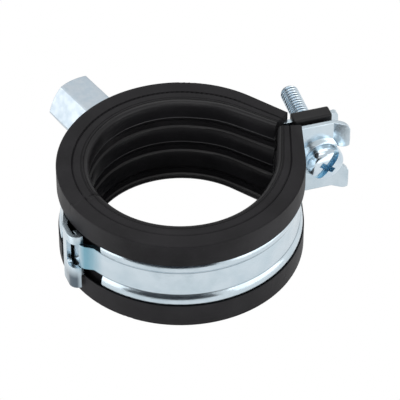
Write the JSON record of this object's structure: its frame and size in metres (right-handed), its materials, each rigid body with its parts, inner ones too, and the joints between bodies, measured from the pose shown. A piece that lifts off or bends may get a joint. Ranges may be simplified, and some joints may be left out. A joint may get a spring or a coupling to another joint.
{
  "type": "rubber lined pipe clamp",
  "caption": "Hinged steel pipe clamp with a ribbed rubber liner, a closing screw with a captive sleeve and a welded connection nut for a threaded rod.",
  "frame": {"origin": "on the pipe's axis at the middle of the clamp's width", "axes": "+Z along the pipe, +X towards the closing screw, so the hinge is at -X; the connection nut's axis leans 5.2 degrees from +Y towards the hinge"},
  "size_m": [0.082, 0.0814, 0.027],
  "materials": {
    "zinc_steel": "bright bluish zinc plating on pressed steel strip",
    "zinc_screw": "bright bluish zinc plating on a cold headed screw",
    "liner_rubber": "satin black extruded rubber",
    "black_plastic": "black moulded plastic, slightly glossy"
  },
  "bodies": {
    "rear_half": {"rear_band": "zinc_steel", "rear_liner": "liner_rubber", "connection_nut": "zinc_steel", "screw_retainer": "black_plastic"},
    "front_half": {"front_band": "zinc_steel", "front_liner": "liner_rubber"},
    "screw": {"closing_screw": "zinc_screw"}
  },
  "joints": [
    {"name": "screw_travel", "type": "slide", "parent": "rear_half", "child": "screw", "axis": [-0.2334, -0.9724, 0], "range_m": [0, 0.01]},
    {"name": "clamp_hinge", "type": "hinge", "parent": "rear_half", "child": "front_half", "pos_m": [-0.0313, -0.00205, 0], "axis": [0, 0, -1], "range_deg": [0, 7.2]}
  ],
  "couplings": [
    {"joint": "clamp_hinge", "follows": "screw_travel", "rad_per_m": 12.5}
  ]
}
